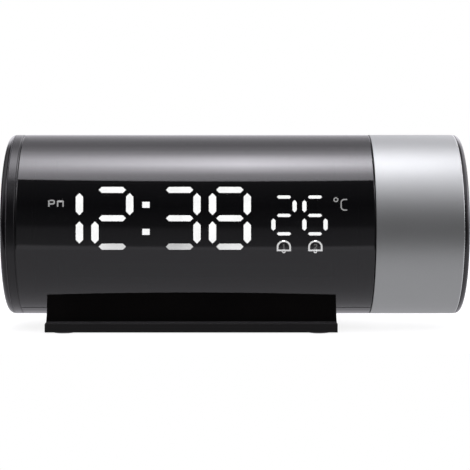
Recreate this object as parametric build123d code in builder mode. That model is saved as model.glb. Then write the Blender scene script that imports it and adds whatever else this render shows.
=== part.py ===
"""Projection alarm clock: a tube on a low cradle, with a turning projector head at its right end.

X runs along the tube, -Y faces the reader and Z is up. The origin is on the table, under the
middle of the clock. Directions round the tube are in degrees from the rear (+Y), over the top
(90) to the front (180) and the bottom (270).
"""

import os
from math import cos, radians, sin, sqrt

from build123d import *

os.makedirs("parts", exist_ok=True)

# Tube
tube_radius = 33.2
tube_wall = 2.0
tube_left = -77.55
tube_right = 49.6
axis_height = 37.7
left_face = -83.2
right_face = 83.2
seam_direction = 153.8  # the way that the middle of the front lens faces
seam_gap = 0.3
lip_reach = 1.2  # the lens's inner lip reaches past the seam by this
fit = 0.05  # gap between pieces that seat in each other
clearance = 0.3  # gap beside pieces that move

# End pieces
cap_seam = -80.9
groove_left = -77.95
groove_radius = 32.7
cap_round = 2.2
edge_break = 0.15  # small chamfers along the seams
spigot_length = 5.6
spigot_wall = 3.4

# Projector head
head_left = 50.2
sleeve_right = 81.4
disc_round = 1.8
sleeve_lip = 0.6
spindle_radius = 8.0
spindle_bore = 4.0
hub_left = 50.8
hub_right = 53.8
beam_x = 65.8
beam_direction = 45.0
barrel_radius = 7.5
barrel_bore = 6.4
bezel_radius = 8.6

# Display
display_face = -26.5  # Y of the lit face, behind the lens
display_left = -70.6
display_right = 43.0
display_low = -11.8
display_high = 15.5
mask_thickness = 0.8
block_depth = 6.0
big_pitch = 17.95
big_gap = 24.0  # from the last hour digit to the first minute digit
big_middle = 3.2
big_row = 10.13
big_column = 12.4
big_bar = (10.1, 2.42)
big_post = (2.86, 8.25)
last_big_digit = -1.74
small_middle = 4.22
small_row = 6.56
small_column = 7.55
small_bar = (5.4, 1.4)
small_post = (1.75, 4.75)
small_digits = (17.56, 28.61)

# Keys, battery door and sockets on the rear shell
key_direction = 20.0
key_pitch = 13.0
key_count = 6
key_middle = -17.5
key_size = (9.0, 4.4)
key_top = 33.9
door_direction = 338.0
door_x = -46.0
door_size = (25.4, 23.4)
cell_radius = 10.0
cell_thickness = 3.2
power_x = 12.0
charger_x = 31.0

# Cradle
cradle_left = -67.3
cradle_right = 36.25
cradle_depth = 29.5  # from the middle to the front edge of the flange
cradle_bottom = 0.5
flange_edge = 3.05
waist_half = 24.6  # half depth at the foot of the walls
waist_height = 4.25
lip_depth = 0.35
saddle_half = 23.5
saddle_bow = 0.8
cradle_round = 0.8
rim_wall = 0.9
plate_thickness = 1.4
foot_radius = 3.9
foot_inset = (6.2, 24.3)

tube_axis = Axis((0, 0, axis_height), (1, 0, 0))
tube_length = tube_right - tube_left
inner_radius = tube_radius - tube_wall
spigot_radius = inner_radius - fit
cradle_middle = (cradle_left + cradle_right) / 2
cradle_length = cradle_right - cradle_left


def section(x):
    """A plane across the tube at x, with Y and Z as its own axes."""
    return Plane(origin=(x, 0, axis_height), x_dir=(0, 1, 0), z_dir=(1, 0, 0))


def facing(y):
    """A plane that faces the reader at y, centred on the tube's axis."""
    return Plane(origin=(0, y, axis_height), x_dir=(1, 0, 0), z_dir=(0, -1, 0))


def outward(direction, distance, x):
    """A plane that faces out of the tube, with X as its own first axis."""
    away = (0, cos(radians(direction)), sin(radians(direction)))
    origin = (x, distance * away[1], axis_height + distance * away[2])
    return Plane(origin=origin, x_dir=(1, 0, 0), z_dir=away)


def beyond(direction, start, mode=Mode.INTERSECT):
    """The half of a section that lies past a chord that faces this way."""
    away = (start * cos(radians(direction)), start * sin(radians(direction)))
    with Locations(away):
        Rectangle(90, 90, rotation=direction - 90, align=(Align.CENTER, Align.MIN), mode=mode)


def turn(outline):
    """Turns a closed outline of (x, radius) points about the tube's axis."""
    with BuildSketch(facing(0)) as profile:
        Polygon(*outline, align=None)
    revolve(profile.sketch, axis=tube_axis)


def finish(piece, name):
    """Labels a piece and writes it."""
    piece.part.label = name
    export_step(piece.part, f"parts/{name}.step")


# ---------------------------------------------------------------- tube shells

key_places = [key_middle + key_pitch * (n - (key_count - 1) / 2) for n in range(key_count)]
housing_screw_places = [
    (direction, x) for direction in (0, 300) for x in (tube_left + 2.6, tube_right - 2.6)
]
cradle_screw_places = [cradle_middle - 36, cradle_middle + 36]

# The front lens is a clear smoked half tube with a lip inside each long edge.
with BuildPart() as front_lens:
    with BuildSketch(section(tube_left)):
        Circle(tube_radius)
        Circle(inner_radius, mode=Mode.SUBTRACT)
        beyond(seam_direction, seam_gap)
    with BuildSketch(section(tube_left)):
        Circle(inner_radius + tube_wall / 2 - fit)
        Circle(inner_radius, mode=Mode.SUBTRACT)
        beyond(seam_direction, -lip_reach)
    extrude(amount=tube_length)
finish(front_lens, "front_lens")

# The rear shell closes the tube and holds the keys, the battery door and the sockets.
with BuildPart() as rear_shell:
    with BuildSketch(section(tube_left)):
        Circle(tube_radius)
        Circle(inner_radius, mode=Mode.SUBTRACT)
        beyond(seam_direction + 180, 0)
    extrude(amount=tube_length)
    with BuildSketch(section(tube_left)):
        Circle(inner_radius + tube_wall / 2)
        Circle(inner_radius - 1, mode=Mode.SUBTRACT)
        Rectangle(90, 2 * (lip_reach + 0.1), rotation=seam_direction - 90, mode=Mode.INTERSECT)
    extrude(amount=tube_length, mode=Mode.SUBTRACT)
    # bosses for the cradle's screws
    with BuildSketch(*[outward(270, inner_radius + 0.3, x) for x in cradle_screw_places]):
        Circle(3.2)
    extrude(amount=-6.3)
    with BuildSketch(*[outward(270, tube_radius + 1, x) for x in cradle_screw_places]):
        Circle(1.25)
    extrude(amount=-8, mode=Mode.SUBTRACT)
    # holes for the keys, with room for them to move
    with BuildSketch(*[outward(key_direction, inner_radius - 2, x) for x in key_places]):
        RectangleRounded(key_size[0] + 2 * clearance, key_size[1] + 2 * clearance, 2.4)
    extrude(amount=6, mode=Mode.SUBTRACT)
    # battery door opening
    with BuildSketch(outward(door_direction, inner_radius - 5, door_x)):
        RectangleRounded(door_size[0] + 2 * clearance, door_size[1] + 2 * clearance, 1.8)
    extrude(amount=12, mode=Mode.SUBTRACT)
    # power and charging sockets
    with BuildSketch(outward(0, inner_radius - 2, power_x)):
        SlotOverall(9.6, 3.8)
    extrude(amount=6, mode=Mode.SUBTRACT)
    with BuildSketch(outward(0, inner_radius - 2, charger_x)):
        RectangleRounded(14.0, 6.6, 0.6)
    extrude(amount=6, mode=Mode.SUBTRACT)
    # sound slots over the sounder, low on the rear
    with BuildSketch(outward(342, inner_radius - 3, -4)):
        with GridLocations(2.6, 0, 7, 1):
            SlotOverall(9, 1.2, rotation=90)
    extrude(amount=8, mode=Mode.SUBTRACT)
    # countersunk holes of the housing screws
    for direction, x in housing_screw_places:
        with BuildSketch(outward(direction, inner_radius - 1, x)):
            Circle(1.1)
        extrude(amount=4, mode=Mode.SUBTRACT)
        with BuildSketch(outward(direction, tube_radius - 1.1, x)):
            Circle(2.15)
        extrude(amount=3, mode=Mode.SUBTRACT)
finish(rear_shell, "rear_shell")

with BuildPart() as housing_screws:
    for direction, x in housing_screw_places:
        with BuildSketch(outward(direction, inner_radius - 2.1, x)):
            Circle(1.0)
        extrude(amount=3)
        with BuildSketch(outward(direction, tube_radius - 1.1, x)):
            Circle(2.0)
        extrude(amount=0.9)
        with BuildSketch(outward(direction, tube_radius - 0.2, x)):
            Rectangle(2.4, 0.5)
            Rectangle(0.5, 2.4)
        extrude(amount=-0.5, mode=Mode.SUBTRACT)
finish(housing_screws, "housing_screws")

# ---------------------------------------------------------------- left end

ring_web = tube_left - 1.7
cap_wall = 1.6
cap_spigot_radius = 29.0

# A ring closes the left end. Its spigot holds both halves of the tube.
with BuildPart() as left_end_ring:
    turn([
        (cap_seam, cap_spigot_radius + fit),
        (cap_seam, tube_radius - edge_break),
        (cap_seam + edge_break, tube_radius),
        (groove_left - edge_break, tube_radius),
        (groove_left, tube_radius - edge_break),
        (groove_left, groove_radius),
        (tube_left, groove_radius),
        (tube_left, spigot_radius),
        (tube_left + spigot_length, spigot_radius),
        (tube_left + spigot_length, spigot_radius - spigot_wall),
        (tube_left, spigot_radius - spigot_wall),
        (tube_left, 0),
        (ring_web, 0),
        (ring_web, cap_spigot_radius + fit),
    ])
    for direction in (0, 300):
        with BuildSketch(outward(direction, spigot_radius - 2.1, tube_left + 2.6)):
            Circle(1.05)
        extrude(amount=4, mode=Mode.SUBTRACT)
finish(left_end_ring, "left_end_ring")

# The cap is a shallow cup that snaps into the ring.
with BuildPart() as left_end_cap:
    with BuildSketch(facing(0)):
        with BuildLine():
            Polyline(
                (left_face, 0),
                (left_face, tube_radius - cap_round),
            )
            RadiusArc(
                (left_face, tube_radius - cap_round),
                (cap_seam - 0.1, tube_radius - 0.2),
                cap_round,
            )
            Polyline(
                (cap_seam - 0.1, tube_radius - 0.2),
                (cap_seam, tube_radius - 0.3),
                (cap_seam, cap_spigot_radius),
                (ring_web, cap_spigot_radius),
                (ring_web, cap_spigot_radius - cap_wall),
                (left_face + cap_wall, cap_spigot_radius - cap_wall),
                (left_face + cap_wall, 0),
                (left_face, 0),
            )
        make_face()
    revolve(axis=tube_axis)
finish(left_end_cap, "left_end_cap")

# ---------------------------------------------------------------- right end and head bearing

bulkhead_face = head_left - clearance
bulkhead_rim = tube_radius - 0.2
shoulder_face = hub_left - 0.1
spindle_end = hub_right + 2.0
clip_groove = (hub_right + 0.15, hub_right + 1.0)
seal_groove = (hub_left + 1.0, hub_left + 2.0)
seal_radius = spindle_radius - 1.0

# The bulkhead closes the right end. Its hollow spindle carries the head.
with BuildPart() as head_bulkhead:
    turn([
        (tube_right - spigot_length, spigot_radius - spigot_wall),
        (tube_right - spigot_length, spigot_radius),
        (tube_right, spigot_radius),
        (tube_right, bulkhead_rim),
        (bulkhead_face, bulkhead_rim),
        (bulkhead_face, 12.0),
        (shoulder_face, 12.0),
        (shoulder_face, spindle_radius),
        (seal_groove[0], spindle_radius),
        (seal_groove[0], seal_radius),
        (seal_groove[1], seal_radius),
        (seal_groove[1], spindle_radius),
        (clip_groove[0], spindle_radius),
        (clip_groove[0], spindle_radius - 1.0),
        (clip_groove[1], spindle_radius - 1.0),
        (clip_groove[1], spindle_radius),
        (spindle_end - 0.4, spindle_radius),
        (spindle_end, spindle_radius - 0.4),
        (spindle_end, spindle_bore),
        (tube_right - 1.6, spindle_bore),
        (tube_right - 1.6, spigot_radius - spigot_wall),
    ])
    for direction in (0, 300):
        with BuildSketch(outward(direction, spigot_radius - 2.1, tube_right - 2.6)):
            Circle(1.05)
        extrude(amount=4, mode=Mode.SUBTRACT)
finish(head_bulkhead, "head_bulkhead")

# A rubber ring in the spindle's groove drags on the hub, so that the head stays where it is put.
with BuildPart() as friction_ring:
    turn([
        (seal_groove[0], seal_radius),
        (seal_groove[0], spindle_radius),
        (seal_groove[1], spindle_radius),
        (seal_groove[1], seal_radius),
    ])
finish(friction_ring, "friction_ring")

# A spring clip in the end of the spindle keeps the hub on.
with BuildPart() as retaining_clip:
    turn([
        (clip_groove[0], spindle_radius - 1.0),
        (clip_groove[0], spindle_radius + 1.8),
        (clip_groove[1], spindle_radius + 1.8),
        (clip_groove[1], spindle_radius - 1.0),
    ])
    with BuildSketch(section(clip_groove[0] - 1)):
        with Locations((0, -spindle_radius)):
            Rectangle(6, 8)
    extrude(amount=3, mode=Mode.SUBTRACT)
finish(retaining_clip, "retaining_clip")

# ---------------------------------------------------------------- display

# The digits are made of pointed bars. Each segment has a letter, as on any such display.
segment_places = {
    "a": (0, 1, True),
    "b": (0.5, 0.5, False),
    "c": (0.5, -0.5, False),
    "d": (0, -1, True),
    "e": (-0.5, -0.5, False),
    "f": (-0.5, 0.5, False),
    "g": (0, 0, True),
}
big_digits = [
    (last_big_digit - 2 * big_pitch - big_gap, "bc", "adeg"),
    (last_big_digit - big_pitch - big_gap, "abged", "cf"),
    (last_big_digit - big_pitch, "abgcd", "ef"),
    (last_big_digit, "abcdefg", ""),
]
small_digit_segments = [
    (small_digits[0], "abged", "cf"),
    (small_digits[1], "acdefg", "b"),
]
colon_x = last_big_digit - big_pitch - big_gap / 2
colon_dots = [(colon_x, big_middle + 4.8), (colon_x, big_middle - 4.85)]


def pointed_bar(length, width):
    """A bar with both ends brought to a point, lying along the sketch's first axis."""
    Polygon(
        (-length / 2, 0),
        (-length / 2 + width / 2, -width / 2),
        (length / 2 - width / 2, -width / 2),
        (length / 2, 0),
        (length / 2 - width / 2, width / 2),
        (-length / 2 + width / 2, width / 2),
        align=None,
    )


def digit_bars(digits, which, middle, row, column, bar, post):
    """Sketches the named segments of a row of digits."""
    with BuildSketch(mode=Mode.PRIVATE) as level:
        pointed_bar(*bar)
    with BuildSketch(mode=Mode.PRIVATE) as upright:
        pointed_bar(post[1], post[0])
    for digit in digits:
        for letter in digit[which]:
            across, up, is_level = segment_places[letter]
            place = (digit[0] + across * column, middle + up * row)
            with Locations(place):
                if is_level:
                    add(level.sketch)
                else:
                    add(upright.sketch, rotation=90)


def segments(which):
    """Sketches the lit (1) or dark (2) segments of all the digits."""
    digit_bars(big_digits, which, big_middle, big_row, big_column, big_bar, big_post)
    digit_bars(
        small_digit_segments, which, small_middle, small_row, small_column, small_bar, small_post
    )
    if which == 1:
        with Locations(*colon_dots):
            RectangleRounded(2.9, 2.4, 0.2)


display_middle = ((display_left + display_right) / 2, (display_low + display_high) / 2)
display_size = (display_right - display_left, display_high - display_low)

with BuildPart() as display_mask:
    with BuildSketch(facing(display_face)):
        with Locations(display_middle):
            Rectangle(*display_size)
    extrude(amount=-mask_thickness)
    for which in (1, 2):
        with BuildSketch(facing(display_face)):
            segments(which)
        extrude(amount=-mask_thickness, mode=Mode.SUBTRACT)
finish(display_mask, "display_mask")

with BuildPart() as lit_segments:
    with BuildSketch(facing(display_face)):
        segments(1)
    extrude(amount=-mask_thickness)
finish(lit_segments, "lit_segments")

with BuildPart() as dark_segments:
    with BuildSketch(facing(display_face)):
        segments(2)
    extrude(amount=-mask_thickness)
finish(dark_segments, "dark_segments")

# Behind the mask, a white block has a light well for each segment.
block_face = display_face + mask_thickness
with BuildPart() as light_block:
    with BuildSketch(facing(block_face)):
        with Locations(display_middle):
            Rectangle(*display_size)
    extrude(amount=-block_depth)
    for which in (1, 2):
        with BuildSketch(facing(block_face)):
            segments(which)
        extrude(amount=-block_depth, mode=Mode.SUBTRACT)
finish(light_block, "light_block")

board_face = block_face + block_depth
with BuildPart() as display_board:
    with BuildSketch(facing(board_face)):
        with Locations(display_middle):
            Rectangle(display_size[0], display_size[1] + 3)
    extrude(amount=-1.6)
finish(display_board, "display_board")

# Two end brackets tie the display to the spigots of the end pieces.
bracket_back = board_face + 1.6
with BuildPart() as display_brackets:
    for x, facing_in in ((tube_left + spigot_length, 1), (tube_right - spigot_length, -1)):
        with BuildSketch(facing(bracket_back)):
            with Locations((x + facing_in * 4, 0)):
                Rectangle(8, 48)
        extrude(amount=-3)
finish(display_brackets, "display_brackets")

# ---------------------------------------------------------------- boards and sounder

main_board_face = 3.0
with BuildPart() as main_board:
    with BuildSketch(facing(main_board_face)):
        with Locations((-12, -4)):
            RectangleRounded(104, 32, 1)
    extrude(amount=-1.6)
    with BuildSketch(facing(main_board_face + 1.6)):
        for place, size in (
            ((-20, -4), (14, 14)),
            ((4, 2), (9, 7)),
            ((-46, 4), (7, 5)),
            ((22, -10), (8, 6)),
        ):
            with Locations(place):
                Rectangle(*size)
    extrude(amount=-1.8)
finish(main_board, "main_board")

with BuildPart() as board_capacitors:
    with BuildSketch(facing(main_board_face + 1.6)):
        with Locations((14, -12), (32, 4), (36, -8)):
            Circle(3.15)
    extrude(amount=-7)
finish(board_capacitors, "board_capacitors")

with BuildPart() as board_posts:
    with BuildSketch(facing(bracket_back)):
        with Locations((-13, -2)):
            with GridLocations(90, 24, 2, 2):
                Circle(2.2)
    extrude(amount=-(main_board_face - bracket_back))
finish(board_posts, "board_posts")

# The head's lead runs along the tube's axis, through the hollow spindle.
with BuildPart() as head_lead:
    with BuildSketch(section(30)):
        Circle(1.2)
    extrude(amount=27.8)
    with BuildSketch(section(24)):
        with Locations((main_board_face - 2.5, 0)):
            Rectangle(5, 7)
    extrude(amount=6)
finish(head_lead, "head_lead")

with BuildPart() as sounder:
    with BuildSketch(outward(342, 24.4, -4)):
        Circle(8.5)
    extrude(amount=4.4)
    with BuildSketch(outward(342, 28.8, -4)):
        Circle(1.2)
    extrude(amount=-1.5, mode=Mode.SUBTRACT)
finish(sounder, "sounder")

# ---------------------------------------------------------------- keys

switch_top = key_top - 5.9
switch_foot = switch_top - 2.0
with BuildPart() as key_board:
    with BuildSketch(outward(key_direction, switch_foot, key_middle)):
        RectangleRounded(key_pitch * key_count + 2, 8, 0.8)
    extrude(amount=-1.6)
finish(key_board, "key_board")

with BuildPart() as key_switches:
    with BuildSketch(*[outward(key_direction, switch_foot, x) for x in key_places]):
        RectangleRounded(6, 6, 0.4)
    extrude(amount=1.5)
    with BuildSketch(*[outward(key_direction, switch_foot + 1.5, x) for x in key_places]):
        Circle(1.7)
    extrude(amount=0.5)
finish(key_switches, "key_switches")

key_names = ("key_mode", "key_set", "key_up", "key_down", "key_alarm", "key_projector")
for name, x in zip(key_names, key_places):
    with BuildPart() as key_cap:
        with BuildSketch(outward(key_direction, key_top - 5.0, x)):
            RectangleRounded(key_size[0] + 2, key_size[1] + 2, 2.0)
        extrude(amount=1.2)
        with BuildSketch(outward(key_direction, key_top - 3.8, x)):
            RectangleRounded(*key_size, 2.1)
        extrude(amount=3.8)
        away = Axis((0, 0, 0), tuple(outward(key_direction, 0, x).z_dir))
        chamfer(key_cap.edges().group_by(away)[-1], 0.4)
    finish(key_cap, name)

# ---------------------------------------------------------------- battery door and coin cell

with BuildPart() as battery_door:
    with BuildSketch(section(door_x - door_size[0] / 2)):
        Circle(tube_radius)
        Circle(inner_radius + 0.2, mode=Mode.SUBTRACT)
        beyond(door_direction, 0)
    extrude(amount=door_size[0])
    with BuildSketch(outward(door_direction, inner_radius - 6, door_x)):
        RectangleRounded(*door_size, 1.5)
    extrude(amount=12, mode=Mode.INTERSECT)
    # finger groove along the edge that lifts
    with BuildSketch(outward(door_direction, tube_radius - 0.6, door_x - door_size[0] / 2 + 3.2)):
        with GridLocations(1.5, 0, 3, 1):
            SlotOverall(11, 0.8, rotation=90)
    extrude(amount=4, mode=Mode.SUBTRACT)
finish(battery_door, "battery_door")

cell_bottom = 24.0
with BuildPart() as cell_holder:
    with BuildSketch(outward(door_direction, cell_bottom - 1.4, door_x)):
        RectangleRounded(24.4, 23.4, 1)
    extrude(amount=1.4 + cell_thickness - 0.6)
    with BuildSketch(outward(door_direction, cell_bottom, door_x)):
        Circle(cell_radius + 0.2)
    extrude(amount=cell_thickness, mode=Mode.SUBTRACT)
finish(cell_holder, "cell_holder")

with BuildPart() as coin_cell:
    with BuildSketch(outward(door_direction, cell_bottom, door_x)):
        Circle(cell_radius)
    extrude(amount=cell_thickness)
    chamfer(coin_cell.edges().filter_by(GeomType.CIRCLE), 0.3)
finish(coin_cell, "coin_cell")

# ---------------------------------------------------------------- sockets

with BuildPart() as power_socket:
    with BuildSketch(outward(0, tube_radius - 0.6, power_x)):
        SlotOverall(9.0, 3.2)
    extrude(amount=-8)
    with BuildSketch(outward(0, tube_radius - 0.6, power_x)):
        SlotOverall(8.4, 2.6)
    extrude(amount=-6.6, mode=Mode.SUBTRACT)
    with BuildSketch(outward(0, tube_radius - 1.4, power_x)):
        RectangleRounded(6.7, 0.7, 0.2)
    extrude(amount=-6)
finish(power_socket, "power_socket")

with BuildPart() as charging_socket:
    with BuildSketch(outward(0, tube_radius - 0.8, charger_x)):
        RectangleRounded(13.2, 5.8, 0.5)
    extrude(amount=-13)
    with BuildSketch(outward(0, tube_radius - 0.8, charger_x)):
        RectangleRounded(12.5, 5.1, 0.3)
    extrude(amount=-12, mode=Mode.SUBTRACT)
    with BuildSketch(outward(0, tube_radius - 2.0, charger_x)):
        with Locations((0, 1.1)):
            Rectangle(11.1, 1.84)
    extrude(amount=-11)
finish(charging_socket, "charging_socket")

# ---------------------------------------------------------------- projector head

# The sleeve is a turned tube with a round window for the beam.
with BuildPart() as head_sleeve:
    with BuildSketch(facing(0)):
        with BuildLine():
            Polyline(
                (sleeve_right, tube_radius - sleeve_lip),
                (sleeve_right, inner_radius),
                (head_left, inner_radius),
                (head_left, tube_radius - edge_break),
                (head_left + edge_break, tube_radius),
                (sleeve_right - sleeve_lip, tube_radius),
            )
            RadiusArc(
                (sleeve_right - sleeve_lip, tube_radius),
                (sleeve_right, tube_radius - sleeve_lip),
                sleeve_lip,
            )
        make_face()
    revolve(axis=tube_axis)
    with BuildSketch(outward(beam_direction, 20, beam_x)):
        Circle(bezel_radius)
    extrude(amount=20, mode=Mode.SUBTRACT)
finish(head_sleeve, "head_sleeve")

with BuildPart() as head_end_disc:
    with BuildSketch(facing(0)):
        with BuildLine():
            RadiusArc(
                (right_face - disc_round, tube_radius - 0.1),
                (right_face, tube_radius - 0.1 - disc_round),
                disc_round,
            )
            Polyline(
                (right_face, tube_radius - 0.1 - disc_round),
                (right_face, 0),
                (sleeve_right, 0),
                (sleeve_right, spigot_radius - 1.6),
                (sleeve_right - 4, spigot_radius - 1.6),
                (sleeve_right - 4, spigot_radius),
                (sleeve_right, spigot_radius),
                (sleeve_right, tube_radius - 0.15),
                (right_face - disc_round, tube_radius - 0.1),
            )
        make_face()
    revolve(axis=tube_axis)
finish(head_end_disc, "head_end_disc")

# The chassis is the hub that turns on the spindle, with a pad for the barrel.
pad_right = beam_x - barrel_radius
with BuildPart() as head_chassis:
    turn([
        (hub_left, spindle_radius + fit),
        (hub_left, 11.6),
        (hub_left + 0.6, 12.2),
        (hub_left + 0.6, spigot_radius),
        (hub_right + 1.2, spigot_radius),
        (hub_right + 1.2, spigot_radius - 1.6),
        (hub_right, spigot_radius - 1.6),
        (hub_right, spindle_radius + fit),
    ])
    with BuildSketch(outward(beam_direction, 13, 0)):
        with Locations(((hub_right + pad_right) / 2, 0)):
            Rectangle(pad_right - hub_right, 9)
    extrude(amount=14)
finish(head_chassis, "head_chassis")

def along_beam(distance):
    """A plane across the beam at this distance from the tube's axis."""
    return outward(beam_direction, distance, beam_x)


with BuildPart() as projector_barrel:
    with BuildSketch(along_beam(-6)):
        Rectangle(15, 15)
    extrude(amount=14)
    with BuildSketch(along_beam(8)):
        Circle(barrel_radius)
    extrude(amount=20.4)
    with BuildSketch(outward(beam_direction, 13, 0)):
        with Locations((pad_right + 1.5, 0)):
            Rectangle(3, 9)
    extrude(amount=14)
    with BuildSketch(along_beam(-6)):
        Rectangle(12, 12)
    extrude(amount=13, mode=Mode.SUBTRACT)
    with BuildSketch(along_beam(-6)):
        Circle(5.2)
    extrude(amount=36, mode=Mode.SUBTRACT)
    with BuildSketch(along_beam(10)):
        Circle(barrel_bore)
    extrude(amount=24, mode=Mode.SUBTRACT)
finish(projector_barrel, "projector_barrel")

with BuildPart() as projector_board:
    with BuildSketch(along_beam(-6)):
        RectangleRounded(17, 15, 0.6)
    extrude(amount=-1.6)
finish(projector_board, "projector_board")

with BuildPart() as projector_lamp:
    with BuildSketch(along_beam(-6)):
        Rectangle(5, 5)
    extrude(amount=1.2)
    with Locations(along_beam(-4.8)):
        Sphere(2.0, arc_size1=0)
finish(projector_lamp, "projector_lamp")

with BuildPart() as condenser_lens:
    with BuildSketch(along_beam(3.4)):
        Rectangle(11.9, 11.9)
    extrude(amount=1.4)
    with Locations(along_beam(4.8)):
        Sphere(5.0, arc_size1=55)
finish(condenser_lens, "condenser_lens")

with BuildPart() as image_panel:
    with BuildSketch(along_beam(10)):
        RectangleRounded(9, 8, 0.3)
    extrude(amount=1.1)
finish(image_panel, "image_panel")

# The bezel lines the sleeve's window and keeps the focus ring in.
with BuildPart() as lens_bezel:
    with BuildSketch(along_beam(28.4)):
        Circle(bezel_radius - fit)
        Circle(7.0, mode=Mode.SUBTRACT)
    extrude(amount=4.7)
    with BuildSketch(along_beam(28.4)):
        Circle(bezel_radius + 1.6)
        Circle(7.0, mode=Mode.SUBTRACT)
    extrude(amount=0.6)
finish(lens_bezel, "lens_bezel")

# The ring's outer edge is knurled. Its skirt moves the lens cell by a cam.
with BuildPart() as focus_ring:
    with BuildSketch(along_beam(29.4)):
        Circle(6.5)
        with PolarLocations(6.5, 24):
            Rectangle(0.5, 0.5, mode=Mode.SUBTRACT)
    extrude(amount=3.9)
    with BuildSketch(along_beam(19.4)):
        Circle(6.0)
    extrude(amount=10)
    with BuildSketch(along_beam(19.4)):
        Circle(5.0)
    extrude(amount=14, mode=Mode.SUBTRACT)
finish(focus_ring, "focus_ring")

with BuildPart() as lens_cell:
    with BuildSketch(along_beam(19)):
        Circle(4.7)
        Circle(3.9, mode=Mode.SUBTRACT)
    extrude(amount=10)
finish(lens_cell, "lens_cell")

with BuildPart() as objective_lens:
    with BuildSketch(along_beam(23)):
        Circle(3.9)
    extrude(amount=3)
finish(objective_lens, "objective_lens")

# ---------------------------------------------------------------- cradle

saddle_top = axis_height - sqrt(tube_radius**2 - saddle_half**2)
recess_size = (cradle_length - 2 * rim_wall, 2 * (cradle_depth - rim_wall))
with BuildPart() as cradle:
    with BuildSketch(Plane(origin=(cradle_left, 0, 0), x_dir=(0, 1, 0), z_dir=(1, 0, 0))):
        with BuildLine():
            for side in (-1, 1):
                Polyline(
                    (0, cradle_bottom),
                    (side * cradle_depth, cradle_bottom),
                    (side * cradle_depth, flange_edge - 0.3),
                    (side * (cradle_depth - 0.3), flange_edge),
                    (side * (waist_half + lip_depth), waist_height - lip_depth),
                    (side * (waist_half + lip_depth), waist_height - 0.05),
                    (side * waist_half, waist_height),
                    (side * saddle_half, saddle_top),
                    (side * saddle_half, saddle_top + 2),
                )
            Line((-saddle_half, saddle_top + 2), (saddle_half, saddle_top + 2))
        make_face()
    extrude(amount=cradle_length)
    corners = cradle.edges().filter_by(Axis.Z).group_by(SortBy.LENGTH)[-1]
    fillet(corners + cradle.edges().filter_by(Axis.Y).group_by(Axis.Z)[0], cradle_round)
    # the rims of the saddle are slightly bowed, highest in the middle
    with BuildSketch(Plane.XZ):
        with BuildLine():
            ThreePointArc(
                (cradle_left, saddle_top - saddle_bow),
                (cradle_middle, saddle_top),
                (cradle_right, saddle_top - saddle_bow),
            )
            Polyline(
                (cradle_right, saddle_top - saddle_bow),
                (cradle_right, 0),
                (cradle_left, 0),
                (cradle_left, saddle_top - saddle_bow),
            )
        make_face()
    extrude(amount=40, both=True, mode=Mode.INTERSECT)
    with BuildSketch(section(cradle_left)):
        Circle(tube_radius + fit)
    extrude(amount=cradle_length, mode=Mode.SUBTRACT)
    # recess for the bottom plate
    with BuildSketch(Plane.XY):
        with Locations((cradle_middle, 0)):
            RectangleRounded(*recess_size, 1.5)
    extrude(amount=cradle_bottom + plate_thickness, mode=Mode.SUBTRACT)
    # screw holes
    with BuildSketch(Plane.XY):
        with Locations(*[(x, 0) for x in cradle_screw_places]):
            Circle(1.7)
    extrude(amount=8, mode=Mode.SUBTRACT)
    with BuildSketch(Plane.XY):
        with Locations(*[(x, 0) for x in cradle_screw_places]):
            Circle(3.0)
    extrude(amount=cradle_bottom + plate_thickness + 1.5, mode=Mode.SUBTRACT)
finish(cradle, "cradle")

with BuildPart() as cradle_screws:
    with BuildSketch(Plane.XY.offset(cradle_bottom + plate_thickness + 0.1)):
        with Locations(*[(x, 0) for x in cradle_screw_places]):
            Circle(2.8)
    extrude(amount=1.4)
    with BuildSketch(Plane.XY.offset(cradle_bottom + plate_thickness + 1.5)):
        with Locations(*[(x, 0) for x in cradle_screw_places]):
            Circle(1.25)
    extrude(amount=8)
finish(cradle_screws, "cradle_screws")

foot_places = [
    (cradle_middle + along * (cradle_length / 2 - foot_inset[0]), across * foot_inset[1])
    for along in (-1, 1)
    for across in (-1, 1)
]
with BuildPart() as bottom_plate:
    with BuildSketch(Plane.XY.offset(cradle_bottom)):
        with Locations((cradle_middle, 0)):
            RectangleRounded(recess_size[0] - 2 * fit, recess_size[1] - 2 * fit, 1.5)
    extrude(amount=plate_thickness)
    with BuildSketch(Plane.XY):
        with Locations(*foot_places):
            Circle(foot_radius)
    extrude(amount=cradle_bottom + 0.7, mode=Mode.SUBTRACT)
finish(bottom_plate, "bottom_plate")

with BuildPart() as rubber_feet:
    with BuildSketch(Plane.XY):
        with Locations(*foot_places):
            Circle(foot_radius - fit)
    extrude(amount=cradle_bottom + 0.7)
    chamfer(rubber_feet.edges().filter_by(GeomType.CIRCLE).group_by(Axis.Z)[0], 0.25)
finish(rubber_feet, "rubber_feet")
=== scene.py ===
"""Projection alarm clock: the looks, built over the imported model."""

from functools import cache, partial
from math import atan2, cos, pi, radians, sin

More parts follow.
